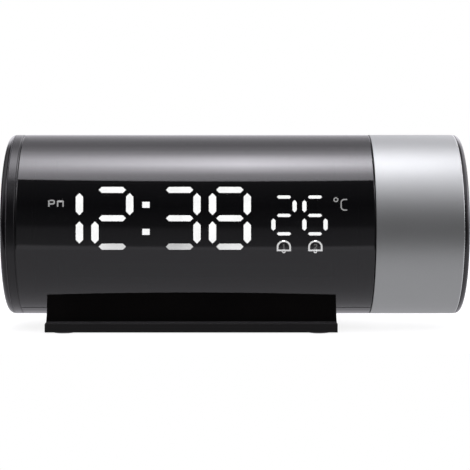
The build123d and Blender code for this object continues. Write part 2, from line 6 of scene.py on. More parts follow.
import bmesh
import bpy
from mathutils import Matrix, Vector


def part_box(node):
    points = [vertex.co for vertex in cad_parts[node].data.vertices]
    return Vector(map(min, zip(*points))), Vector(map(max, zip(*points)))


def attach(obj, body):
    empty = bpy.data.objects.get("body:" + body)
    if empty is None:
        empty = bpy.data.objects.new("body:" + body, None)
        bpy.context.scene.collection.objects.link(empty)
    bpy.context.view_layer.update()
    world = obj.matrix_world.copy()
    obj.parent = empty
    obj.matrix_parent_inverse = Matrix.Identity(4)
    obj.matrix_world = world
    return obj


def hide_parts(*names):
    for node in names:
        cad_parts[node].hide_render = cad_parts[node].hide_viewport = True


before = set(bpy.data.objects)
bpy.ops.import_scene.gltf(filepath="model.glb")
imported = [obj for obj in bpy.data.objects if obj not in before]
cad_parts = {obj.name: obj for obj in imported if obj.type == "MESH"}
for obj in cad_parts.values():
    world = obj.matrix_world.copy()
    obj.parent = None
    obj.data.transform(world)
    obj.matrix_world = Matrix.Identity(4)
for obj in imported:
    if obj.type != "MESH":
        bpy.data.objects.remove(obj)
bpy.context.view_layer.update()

bl_info = {
    "name": "Projection Alarm Clock",
    "version": (1, 0, 0),
    "blender": (4, 5, 0),
    "location": "3D View > Sidebar > Clock",
    "description": "Builds the looks of a projection alarm clock over its packed model",
    "category": "Add Mesh",
}

MM = 0.001


def corners_mm(node):
    """The lowest and the highest corner of a CAD node, in millimetres."""
    low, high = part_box(node)
    return low / MM, high / MM


# Places read from the frame, in millimetres
TUBE_LEFT, TUBE_RIGHT = (end.x for end in corners_mm("front_lens"))
SLEEVE_LOW, SLEEVE_HIGH = corners_mm("head_sleeve")
SLEEVE_LEFT, SLEEVE_RIGHT = SLEEVE_LOW.x, SLEEVE_HIGH.x
RADIUS = (SLEEVE_HIGH.y - SLEEVE_LOW.y) / 2
AXIS_HEIGHT = SLEEVE_HIGH.z - RADIUS
LEFT_FACE, RIGHT_FACE = corners_mm("left_end_cap")[0].x, corners_mm("head_end_disc")[1].x
CAP_SEAM = corners_mm("left_end_ring")[0].x
CRADLE_LOW, CRADLE_HIGH = corners_mm("cradle")
MASK_LOW = corners_mm("display_mask")[0]
BLOCK_LOW, BLOCK_HIGH = corners_mm("light_block")
TUBE_MIDDLE = Vector((0, 0, AXIS_HEIGHT))
ALONG_TUBE = Vector((1, 0, 0))
# The groove between the left end ring and the tube
GROOVE_WIDTH = 0.4
GROOVE_DEPTH = 0.5
GROOVE_LEFT = TUBE_LEFT - GROOVE_WIDTH
# Below this height lie only the large digits' bottom segments
FOOT_TOP = 31.8
# Directions out of the tube, in degrees from the rear over the top
KEY_DIRECTION = 20.0
BEAM_DIRECTION = 45.0


# ---- mesh helpers


def outward(direction):
    """The unit vector out of the tube, in degrees from the rear over the top."""
    return Vector((0, cos(radians(direction)), sin(radians(direction))))


def arc(centre, radius, start, end, steps):
    """Points of an arc in a flat outline, in degrees."""
    turns = [radians(start + (end - start) * n / steps) for n in range(steps + 1)]
    return [(centre[0] + radius * cos(t), centre[1] + radius * sin(t)) for t in turns]


def corner(centre, radius, start, end, steps=4, hold=0.3):
    """An arc with a short straight stretch at each end, which keeps the shading beside it true."""
    along = 1 if end > start else -1
    first, last = radians(start), radians(end)
    points = arc(centre, radius, start, end, steps)
    before = (points[0][0] + hold * along * sin(first), points[0][1] - hold * along * cos(first))
    after = (points[-1][0] - hold * along * sin(last), points[-1][1] + hold * along * cos(last))
    return [before, *points, after]


def off_axis(point):
    """How far a point is from the tube's axis."""
    return (point - TUBE_MIDDLE).yz.length


def spun(outline, steps=240, away=None, sweep=360.0, origin=TUBE_MIDDLE, axis=ALONG_TUBE):
    """A bmesh turned about an axis from an outline of (along, radius), in millimetres."""
    bm = bmesh.new()
    away = away or outward(90)
    verts = [bm.verts.new(origin + axis * along + away * radius) for along, radius in outline]
    full = sweep >= 360
    if full:
        geom = [bm.edges.new((a, b)) for a, b in zip(verts, verts[1:] + verts[:1])]
    else:
        geom = [bm.faces.new(verts)]
    bmesh.ops.spin(
        bm, geom=geom, cent=origin, axis=axis, dvec=(0, 0, 0),
        angle=radians(sweep), steps=steps, use_merge=full, use_duplicate=False,
    )
    bmesh.ops.remove_doubles(bm, verts=bm.verts, dist=1e-4)
    bmesh.ops.recalc_face_normals(bm, faces=bm.faces)
    return bm


def grow(bm, faces, step, keep=False):
    """Extrudes faces by a step, and returns the geometry made."""
    made = bmesh.ops.extrude_face_region(bm, geom=faces, use_keep_orig=keep)["geom"]
    verts = [item for item in made if isinstance(item, bmesh.types.BMVert)]
    bmesh.ops.translate(bm, vec=step, verts=verts)
    return made


def ribbon(bm, place, points, width, closed=False, thickness=0.04):
    """A flat line of even width, raised from a plane. place turns (right, up) into a point."""
    points = [Vector(point) for point in points]
    count = len(points)
    rails = []
    for n, point in enumerate(points):
        before = points[n - 1] if n or closed else point
        after = points[(n + 1) % count] if n < count - 1 or closed else point
        into = (point - before).normalized()
        out = (after - point).normalized()
        along = (into + out).normalized()
        side = Vector((-along.y, along.x))
        known = into if into.length else out
        half = width / 2 / max(0.5, along.dot(known))
        rails.append([bm.verts.new(place(point + side * half * sign)) for sign in (1, -1)])
    pairs = list(zip(rails, rails[1:] + rails[:1])) if closed else list(zip(rails, rails[1:]))
    flat = [bm.faces.new((a[0], a[1], b[1], b[0])) for a, b in pairs]
    bmesh.ops.recalc_face_normals(bm, faces=flat)
    start, right, up = (place(Vector(uv)) for uv in ((0, 0), (1, 0), (0, 1)))
    normal = (right - start).cross(up - start).normalized()
    grow(bm, flat, normal * thickness, keep=True)


def on_display(left, low):
    """Turns (right, up) into a point on the display's face, counted from its lower left corner."""
    start = MASK_LOW + Vector((left, -0.02, low))
    return lambda uv: start + Vector((uv[0], 0, uv[1]))


def reach_of(node, direction):
    """How far a CAD node reaches out of the tube in a direction, in millimetres."""
    away = outward(direction)
    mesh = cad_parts[node].data
    return max((vert.co / MM - TUBE_MIDDLE).dot(away) for vert in mesh.vertices)


def second_finish(bm, picked):
    """Gives a piece's second finish to the faces that a test picks by their middle and normal."""
    for face in bm.faces:
        if picked(face.calc_center_median(), face.normal):
            face.material_index = 1


def finish_piece(bm, name, body, looks, replaced=(), sharp=32.0):
    """Makes a bmesh in millimetres a piece that rides a body, creased past sharp degrees.

    looks holds the names of its finishes.
    """
    bmesh.ops.scale(bm, vec=(MM, MM, MM), verts=bm.verts)
    for face in bm.faces:
        face.smooth = True
    for edge in bm.edges:
        edge.smooth = edge.calc_face_angle(0.0) < radians(sharp)
    mesh = bpy.data.meshes.new(name)
    bm.to_mesh(mesh)
    bm.free()
    for look in looks:
        mesh.materials.append(finishes()[look])
    piece = bpy.data.objects.new(name, mesh)
    bpy.context.scene.collection.objects.link(piece)
    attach(piece, body)
    if replaced:
        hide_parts(*replaced)
    return piece


def dress(node, look):
    """Gives a CAD node a finish."""
    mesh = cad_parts[node].data
    mesh.materials.clear()
    mesh.materials.append(finishes()[look])


# ---- finishes


def new_finish(name, colour, roughness, metallic=0.0, **sockets):
    """A Principled material with its plain values set."""
    material = bpy.data.materials.new(name)
    material.use_nodes = True
    shader = material.node_tree.nodes["Principled BSDF"]
    shader.inputs["Base Color"].default_value = (*colour, 1)
    shader.inputs["Roughness"].default_value = roughness
    shader.inputs["Metallic"].default_value = metallic
    for socket, value in sockets.items():
        shader.inputs[socket.replace("_", " ")].default_value = value
    return material, material.node_tree, shader


def maths(tree, operation, *values):
    """The output of a maths node, from numbers and the outputs of other nodes."""
    node = tree.nodes.new("ShaderNodeMath")
    node.operation = operation
    for socket, value in zip(node.inputs, values):
        if isinstance(value, (int, float)):
            socket.default_value = value
        else:
            tree.links.new(value, socket)
    return node.outputs[0]


def between(tree, value, low, high, at_low=0.0, at_high=1.0, soft=False):
    """A value mapped from one range to another, and held at both ends."""
    node = tree.nodes.new("ShaderNodeMapRange")
    node.interpolation_type = "SMOOTHSTEP" if soft else "LINEAR"
    for socket, level in zip(node.inputs[1:5], (low, high, at_low, at_high)):
        socket.default_value = level
    tree.links.new(value, node.inputs["Value"])
    return node.outputs["Result"]


def on_ramp(tree, value, stops):
    """A level read off (position, level) stops, from 0 to 1."""
    node = tree.nodes.new("ShaderNodeValToRGB")
    tree.links.new(value, node.inputs["Fac"])
    elements = node.color_ramp.elements
    elements.remove(elements[-1])
    for number, (position, level) in enumerate(stops):
        element = elements.new(position) if number else elements[0]
        element.color = (level, level, level, 1)
    return node.outputs["Color"]


def by_bearing(tree, bearing, profile):
    """A radiance that changes with the bearing, by a profile that starts at -180 degrees."""
    peak = max(radiance for _, radiance in profile)
    place = maths(tree, "MULTIPLY_ADD", bearing, 1 / (2 * pi), 0.5)
    stops = [(degrees / 360 + 0.5, radiance / peak) for degrees, radiance in profile]
    return maths(tree, "MULTIPLY", on_ramp(tree, place, stops), peak)


def either(tree, share, first, second, output):
    """Sends the first shader to an output where the share is 0, and the second where it is 1."""
    mix = tree.nodes.new("ShaderNodeMixShader")
    for socket, value in zip(mix.inputs, (share, first, second)):
        tree.links.new(value, socket)
    tree.links.new(mix.outputs[0], output)


def place_parts(tree, kind="Object"):
    """The object's own coordinates, or those of another kind, as outputs X, Y and Z."""
    place = tree.nodes.new("ShaderNodeTexCoord")
    split = tree.nodes.new("ShaderNodeSeparateXYZ")
    tree.links.new(place.outputs[kind], split.inputs[0])
    return split.outputs


def grain(tree, scale, detail=2.0, stretch=(1, 1, 1)):
    """Noise on the object's own coordinates; scale is in features per metre."""
    place = tree.nodes.new("ShaderNodeTexCoord")
    mapping = tree.nodes.new("ShaderNodeMapping")
    mapping.inputs["Scale"].default_value = stretch
    noise = tree.nodes.new("ShaderNodeTexNoise")
    noise.inputs["Scale"].default_value = scale
    noise.inputs["Detail"].default_value = detail
    tree.links.new(place.outputs["Object"], mapping.inputs["Vector"])
    tree.links.new(mapping.outputs["Vector"], noise.inputs["Vector"])
    return noise.outputs["Fac"]


def vary(tree, noise, low, high):
    """Maps a noise, most of which lies between 0.3 and 0.7, to a range."""
    return between(tree, noise, 0.3, 0.7, low, high)


def add_bump(tree, shader, height, strength, distance):
    """Bumps a shader by a height."""
    bump = tree.nodes.new("ShaderNodeBump")
    bump.inputs["Strength"].default_value = strength
    bump.inputs["Distance"].default_value = distance
    tree.links.new(height, bump.inputs["Height"])
    tree.links.new(bump.outputs["Normal"], shader.inputs["Normal"])


def tint(tree, shader, value, low, high):
    """Varies the base colour between two colours, and returns the node that mixes them."""
    mix = tree.nodes.new("ShaderNodeMix")
    mix.data_type = "RGBA"
    mix.inputs["A"].default_value = (*low, 1)
    mix.inputs["B"].default_value = (*high, 1)
    tree.links.new(value, mix.inputs["Factor"])
    tree.links.new(mix.outputs["Result"], shader.inputs["Base Color"])
    return mix


def shaded(colour, share):
    """A colour made darker or lighter, up to 1."""
    return tuple(min(1, part * share) for part in colour)


def moulded(name, colour, roughness, texture=0.15, **sockets):
    """Moulded plastic: a fine grain, and a sheen that varies a little from place to place."""
    material, tree, shader = new_finish(name, colour, roughness, **sockets)
    drift = grain(tree, 60, 3)
    sheen = vary(tree, drift, roughness * 0.92, roughness * 1.1)
    tree.links.new(sheen, shader.inputs["Roughness"])
    tint(tree, shader, vary(tree, drift, 0, 1), shaded(colour, 0.85), shaded(colour, 1.15))
    add_bump(tree, shader, grain(tree, 3500, 1), texture, 0.00004)
    return material


def smoked_acrylic(name, alpha, colour):
    """Polished smoked acrylic. It dims what is behind it."""
    material, tree, shader = new_finish(name, colour, 0.02, Alpha=alpha, IOR=1.5)
    drift = grain(tree, 25, 2)
    tree.links.new(vary(tree, drift, 0.015, 0.03), shader.inputs["Roughness"])
    return material


def anodised(name, colour, roughness, lip_from):
    """Anodised aluminium: a fine sparkle, and a smoother lip past lip_from, in mm, with a painted
    highlight there: the lip's colour is made lighter.
    """
    lip_highlight_gain, lip_roughness = 6.0, 0.25
    material, tree, shader = new_finish(name, colour, roughness, 1.0)
    pits = grain(tree, 9000, 2)
    lip = maths(tree, "GREATER_THAN", place_parts(tree)["X"], lip_from * MM)
    # past lip_from the colour is pushed far lighter: a painted highlight on the lip, beside its
    # real smoother finish
    brightness = maths(tree, "MULTIPLY_ADD", lip, lip_highlight_gain, vary(tree, pits, 0, 1))
    mix = tint(tree, shader, brightness, shaded(colour, 0.94), shaded(colour, 1.05))
    mix.clamp_factor = False
    blasted = vary(tree, grain(tree, 40, 2), roughness * 0.97, roughness * 1.04)
    sheen = maths(tree, "MULTIPLY_ADD", lip, lip_roughness - roughness, blasted)
    tree.links.new(sheen, shader.inputs["Roughness"])
    add_bump(tree, shader, pits, 0.12, 0.00003)
    return material


def worn_metal(name, colour, roughness):
    """Plated or drawn metal with faint handling marks."""
    material, tree, shader = new_finish(name, colour, roughness, 1.0)
    marks = grain(tree, 300, 4, (1, 6, 6))
    sheen = vary(tree, marks, roughness * 0.7, roughness * 1.3)
    tree.links.new(sheen, shader.inputs["Roughness"])
    tint(tree, shader, vary(tree, marks, 0, 1), shaded(colour, 0.85), colour)
    return material


def rubber(name, colour):
    """Matt rubber with a dusty bloom."""
    material, tree, shader = new_finish(name, colour, 0.75)
    dust = grain(tree, 400, 5)
    tint(tree, shader, vary(tree, dust, 0, 1), colour, shaded(colour, 1.8))
    add_bump(tree, shader, grain(tree, 2500, 2), 0.3, 0.00005)
    return material


def lit(name, colour, strength, foot=()):
    """A lit diffuser. Its light falls off a little from place to place.

    foot holds (x in mm, share of the light) for the dimmer segments at the digits' foot.
    """
    material, tree, shader = new_finish(name, (0.8, 0.8, 0.8), 0.5)
    shader.inputs["Emission Color"].default_value = (*colour, 1)
    light = vary(tree, grain(tree, 220, 1), strength * 0.95, strength * 1.05)
    if foot:
        place = place_parts(tree)
        start, end = foot[0][0], foot[-1][0]
        along = between(tree, place["X"], start * MM, end * MM)
        dimmed = on_ramp(tree, along, [((x - start) / (end - start), share) for x, share in foot])
        above = maths(tree, "GREATER_THAN", place["Z"], FOOT_TOP * MM)
        light = maths(tree, "MULTIPLY", light, maths(tree, "MAXIMUM", above, dimmed))
    tree.links.new(light, shader.inputs["Emission Strength"])
    return material


def reflector(name, colour):
    """White reflector plastic inside, blacked on its outer faces."""
    skin = 0.2
    material, tree, shader = new_finish(name, colour, 0.5, Specular_IOR_Level=0.2)
    place = place_parts(tree)
    past = []
    for axis, low, high in (("X", BLOCK_LOW.x, BLOCK_HIGH.x), ("Z", BLOCK_LOW.z, BLOCK_HIGH.z)):
        off = maths(tree, "ABSOLUTE", maths(tree, "SUBTRACT", place[axis], (low + high) / 2 * MM))
        past.append(maths(tree, "GREATER_THAN", off, ((high - low) / 2 - skin) * MM))
    tint(tree, shader, maths(tree, "MAXIMUM", *past), colour, (0.004, 0.004, 0.004))
    return material


def circuit_board(name, colour):
    """Solder mask over copper tracks."""
    material, tree, shader = new_finish(name, colour, 0.35)
    place = tree.nodes.new("ShaderNodeTexCoord")
    tracks = tree.nodes.new("ShaderNodeTexBrick")
    tracks.inputs["Scale"].default_value = 260
    tracks.inputs["Mortar Size"].default_value = 0.05
    tracks.inputs["Color1"].default_value = (*colour, 1)
    tracks.inputs["Color2"].default_value = (*shaded(colour, 0.8), 1)
    tracks.inputs["Mortar"].default_value = (*shaded(colour, 1.9), 1)
    tree.links.new(place.outputs["Object"], tracks.inputs["Vector"])
    tree.links.new(tracks.outputs["Color"], shader.inputs["Base Color"])
    return material


class ClockFinishes(bpy.types.PropertyGroup):
    """Colours and sheens of the clock."""

    body_colour: bpy.props.FloatVectorProperty(
        name="Body colour", description="Colour of the satin black shells",
        default=(0.004, 0.0038, 0.0044), size=3, subtype="COLOR", min=0, max=1,
    )
    body_roughness: bpy.props.FloatProperty(
        name="Body roughness", description="How satin the shells are", default=0.19, min=0, max=1,
        subtype="FACTOR",
    )
    lens_alpha: bpy.props.FloatProperty(
        name="Lens darkness", description="How much of the display's light the lens holds back",
        default=0.9, min=0, max=1, subtype="FACTOR",
    )
    silver_colour: bpy.props.FloatVectorProperty(
        name="Head colour", description="Colour of the anodised sleeve",
        default=(0.356, 0.365, 0.359), size=3, subtype="COLOR", min=0, max=1,
    )
    silver_roughness: bpy.props.FloatProperty(
        name="Head roughness", description="How fine the sleeve's blasting is", default=0.48,
        min=0, max=1, subtype="FACTOR",
    )
    cradle_colour: bpy.props.FloatVectorProperty(
        name="Cradle colour", description="Colour of the cradle", default=(0.0022, 0.0019, 0.0018),
        size=3, subtype="COLOR", min=0, max=1,
    )
    digit_colour: bpy.props.FloatVectorProperty(
        name="Digit colour", description="Colour of the lit digits", default=(1.0, 1.0, 1.0),
        size=3, subtype="COLOR", min=0, max=1,
    )
    digit_strength: bpy.props.FloatProperty(
        name="Digit brightness", description="Light that the digits give off", default=19.3, min=0,
    )


class ClockSizes(bpy.types.PropertyGroup):
    """Sizes of the shells that a user would change, in millimetres."""

    lens_wall: bpy.props.FloatProperty(
        name="Lens wall", description="Thickness of the front lens, in mm", default=2.0, min=0.5,
    )
    edge_round: bpy.props.FloatProperty(
        name="Edge round", description="Radius of the small rounded edges, in mm", default=0.15,
        min=0.02,
    )
    corner_round: bpy.props.FloatProperty(
        name="Corner round", description="Radius of the ends' outer corners, in mm", default=2.2,
        min=0.5,
    )
    icon_stroke: bpy.props.FloatProperty(
        name="Icon stroke", description="Width of the display's icon lines, in mm", default=0.5,
        min=0.1,
    )
    bell_stroke: bpy.props.FloatProperty(
        name="Bell stroke", description="Width of the alarm bells' lines, in mm", default=0.6,
        min=0.1,
    )
    knurls: bpy.props.IntProperty(
        name="Knurls", description="Ribs round the focus ring", default=36, min=8, max=72,
    )


@cache
def finishes():
    """The clock's materials, made once."""
    look = bpy.context.scene.clock_finishes
    body, digits = tuple(look.body_colour), tuple(look.digit_colour)
    silver, cradle = tuple(look.silver_colour), tuple(look.cradle_colour)
    foot = ((-48, 0.77), (-39, 0.65), (-24, 0.53), (-15, 0.58), (-7, 0.74), (3, 0.82))
    return dict(
        body=moulded("satin_black", body, look.body_roughness, 0.10, Specular_IOR_Level=0.36),
        rim=moulded("satin_rim", body, 0.22, 0.1, Specular_IOR_Level=0.6),
        # a lighter colour for the cradle's cove between wall and flange: a painted highlight
        cove=moulded("cradle_cove_painted_highlight", (0.03, 0.029, 0.031), 0.4, 0.1, Specular_IOR_Level=0.25),
        # a lighter colour for the left cap's edge band at the seam: a painted highlight
        seam_painted_highlight=moulded("seam_painted_highlight", (0.06, 0.058, 0.062), 0.4, 0.1),
        inner=moulded("inner_black", (0.012, 0.012, 0.012), 0.55, 0.3, Specular_IOR_Level=0.3),
        cradle=moulded("cradle_black", cradle, 0.16, 0.06, Specular_IOR_Level=0.16),
        lens=smoked_acrylic("smoked_lens", look.lens_alpha, (0.004, 0.004, 0.0045)),
        lens_back=smoked_acrylic("smoked_lens_back", 0.5, (0.002, 0.002, 0.002)),
        silver=anodised("head_silver", silver, look.silver_roughness, SLEEVE_RIGHT - 0.5),
        mask=moulded("mask_black", (0.003, 0.003, 0.003), 0.6, 0.3, Specular_IOR_Level=0.1),
        digit=lit("digit_white", digits, look.digit_strength, foot),
        icon=lit("icon_bright", digits, look.digit_strength * 0.62),
        dim_icon=lit("icon_dim", digits, look.digit_strength * 0.33),
        faint_icon=lit("icon_faint", digits, look.digit_strength * 0.09),
        unlit=moulded("digit_dark", (0.004, 0.004, 0.004), 0.6, 0.2),
        block=reflector("block_white", (0.75, 0.75, 0.74)),
        board=circuit_board("board_green", (0.012, 0.10, 0.04)),
        dark_board=circuit_board("board_black", (0.006, 0.007, 0.006)),
        ink=moulded("key_ink", (0.5, 0.5, 0.5), 0.5, 0.1),
        can=moulded("capacitor_sleeve", (0.03, 0.03, 0.035), 0.35, 0.1),
        key=moulded("key_black", (0.02, 0.02, 0.021), 0.35, 0.2),
        knurled=moulded("focus_black", (0.016, 0.016, 0.016), 0.4, 0.2),
        rubber=rubber("rubber", (0.02, 0.02, 0.02)),
        screw=worn_metal("zinc_screw", (0.12, 0.12, 0.125), 0.35),
        spring=worn_metal("spring_steel", (0.45, 0.45, 0.47), 0.3),
        cell=worn_metal("cell_steel", (0.7, 0.7, 0.69), 0.28),
        socket=worn_metal("socket_metal", (0.62, 0.61, 0.6), 0.3),
        optic=smoked_acrylic("clear_optic", 0.35, (0.02, 0.03, 0.05)),
        panel=smoked_acrylic("panel_glass", 0.6, (0.01, 0.015, 0.015)),
        lamp=moulded("lamp_white", (0.8, 0.8, 0.7), 0.2, 0.05),
    )


# The CAD nodes that carry each finish
DRESS = {
    "body": (
        "rear_shell", "left_end_ring", "left_end_cap", "head_end_disc", "battery_door",
        "lens_bezel",
    ),
    "mask": ("head_bulkhead", "display_mask"),
    "cradle": ("cradle", "bottom_plate"),
    "lens": ("front_lens",),
    "silver": ("head_sleeve",),
    "inner": (
        "display_brackets", "board_posts", "cell_holder", "head_chassis", "projector_barrel",
        "lens_cell", "sounder", "focus_ring",
    ),
    "digit": ("lit_segments",),
    "unlit": ("dark_segments",),
    "block": ("light_block",),
    "dark_board": ("display_board",),
    "board": ("main_board", "key_board", "projector_board"),
    "can": ("board_capacitors", "key_switches"),
    "key": ("key_mode", "key_set", "key_up", "key_down", "key_alarm", "key_projector"),
    "rubber": ("rubber_feet", "friction_ring", "head_lead"),
    "screw": ("housing_screws", "cradle_screws"),
    "spring": ("retaining_clip",),
    "cell": ("coin_cell",),
    "socket": ("power_socket", "charging_socket"),
    "optic": ("objective_lens", "condenser_lens"),
    "panel": ("image_panel",),
    "lamp": ("projector_lamp",),
}


# ---- operators


class CLOCK_OT_dress_frame(bpy.types.Operator):
    """Give every carried-over piece of the frame its finish"""

    bl_idname = "clock.dress_frame"
    bl_label = "Dress Frame"

    def execute(self, context):
        for look, nodes in DRESS.items():
            for node in nodes:
                dress(node, look)
        # the stand isn't mirrored in the glossy lens above it
        for node in ("bottom_plate", "rubber_feet"):
            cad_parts[node].visible_glossy = False
        return {"FINISHED"}


class CLOCK_OT_front_lens(bpy.types.Operator):
    """Build the smoked front lens, a half tube with rounded long edges"""

    bl_idname = "clock.front_lens"
    bl_label = "Front Lens"

    seam_top: bpy.props.FloatProperty(
        name="Top seam", description="Direction of the upper seam, in degrees", default=64.35,
    )
    seam_bottom: bpy.props.FloatProperty(
        name="Bottom seam", description="Direction of the lower seam, in degrees", default=242.8,
    )

    def execute(self, context):
        sizes = context.scene.clock_sizes
        soft = sizes.edge_round
        inner = RADIUS - sizes.lens_wall
        crisp = soft / 3
        outline = (
            [(TUBE_LEFT, inner)]
            + corner((TUBE_LEFT + soft, RADIUS - soft), soft, 180, 90)
            + corner((TUBE_RIGHT - crisp, RADIUS - crisp), crisp, 90, 0)
            + [(TUBE_RIGHT, inner)]
        )
        bm = spun(outline, 200, outward(self.seam_top), self.seam_bottom - self.seam_top)
        nearly_full = TUBE_RIGHT - TUBE_LEFT - 2
        seams = [
            edge for edge in bm.edges
            if edge.calc_length() > nearly_full and edge.calc_face_angle(0) > radians(60)
            and all(off_axis(vert.co) > RADIUS - 0.1 for vert in edge.verts)
        ]
        bmesh.ops.bevel(
            bm, geom=seams, offset=soft, segments=3, profile=0.5, affect="EDGES", material=-1,
        )
        second_finish(bm, lambda middle, normal: off_axis(middle) < RADIUS - 0.3)
        finish_piece(
            bm, "front_lens_shell", "clock", ["lens", "lens_back"], ["front_lens"],
        )
        return {"FINISHED"}


class CLOCK_OT_left_end(bpy.types.Operator):
    """Build the left end ring and its rounded cap, with fine edges at their seam and groove"""

    bl_idname = "clock.left_end"
    bl_label = "Left End"

    def execute(self, context):
        soft = context.scene.clock_sizes.edge_round
        round_off = context.scene.clock_sizes.corner_round
        # the seam between ring and cap, with the ring's chamfer and the cap's edge band, which is
        # painted lighter as a highlight
        seam = CAP_SEAM + 0.15
        chamfer, highlight_edge, cap_radius = 0.08, 0.3, RADIUS - 0.05
        # the web across the ring, and the spigot that reaches into the tube
        bore, web, groove_floor = 29.05, 1.7, RADIUS - GROOVE_DEPTH
        spigot, spigot_wall, spigot_end = RADIUS - 2.05, 3.4, TUBE_LEFT + 5.6
        ring = [
            (seam, bore), (seam, RADIUS - chamfer), (seam + chamfer, RADIUS),
            (GROOVE_LEFT - soft, RADIUS), (GROOVE_LEFT, RADIUS - soft), (GROOVE_LEFT, groove_floor),
            (TUBE_LEFT, groove_floor), (TUBE_LEFT, spigot), (spigot_end, spigot),
            (spigot_end, spigot - spigot_wall), (TUBE_LEFT, spigot - spigot_wall),
            (TUBE_LEFT, 0), (TUBE_LEFT - web, 0), (TUBE_LEFT - web, bore),
        ]
        finish_piece(
            spun(ring), "left_end_ring_fine", "clock", ["body"], ["left_end_ring"],
        )
        cap_wall, cap_bore = 1.6, 27.4
        cap = (
            [(seam, bore - 0.1), (seam, RADIUS - 0.25), (seam - highlight_edge, cap_radius)]
            + corner((LEFT_FACE + round_off, cap_radius - round_off), round_off, 92, 180, 16)[1:]
            + [(LEFT_FACE, 0), (LEFT_FACE + cap_wall, 0), (LEFT_FACE + cap_wall, cap_bore)]
            + [(seam, cap_bore)]
        )
        bm = spun(cap)
        # the cap's edge band by the seam takes the lighter finish: a painted highlight
        second_finish(bm, lambda middle, normal: (
            seam - highlight_edge < middle.x < seam and off_axis(middle) > RADIUS - 0.3
        ))
        finish_piece(
            bm, "left_end_cap_fine", "clock", ["body", "seam_painted_highlight"],
            ["left_end_cap"],
        )
        return {"FINISHED"}


class CLOCK_OT_head_end(bpy.types.Operator):
    """Build the black end disc of the head, with its rounded corner, and the sleeve's inner edge"""

    bl_idname = "clock.head_end"
    bl_label = "Head Ends"

    edge_reach: bpy.props.FloatProperty(
        name="Edge reach", description="How far the sleeve's edge reaches into the gap, in mm",
        default=0.2,
    )

    def execute(self, context):
        overlap, chamfer = 0.14, 0.04
        left, right = SLEEVE_LEFT - self.edge_reach, SLEEVE_LEFT + overlap
        outer, edge_bore = RADIUS - 0.005, RADIUS - 1.2
        edge = [
            (left, edge_bore), (left, RADIUS - 0.05), (left + chamfer, outer),
            (right, outer), (right, edge_bore),
        ]
        finish_piece(spun(edge), "head_sleeve_edge", "projector_head", ["silver"])
        round_off = RIGHT_FACE - SLEEVE_RIGHT
        rim, wall, disc_bore = RADIUS - 0.1, 1.5, RADIUS - 6
        disc = (
            [(SLEEVE_RIGHT, disc_bore), (SLEEVE_RIGHT, rim - 0.1)]
            + corner((RIGHT_FACE - round_off, rim - round_off), round_off, 86, 0, 16)[1:]
            + [(RIGHT_FACE, 0), (RIGHT_FACE - wall, 0), (RIGHT_FACE - wall, disc_bore)]
        )
        bm = spun(disc)
        second_finish(bm, lambda middle, normal: (
            middle.x > SLEEVE_RIGHT and off_axis(middle) > rim - round_off
        ))
        finish_piece(
            bm, "head_end_cover", "projector_head", ["body", "rim"],
            ["head_end_disc"],
        )
        return {"FINISHED"}


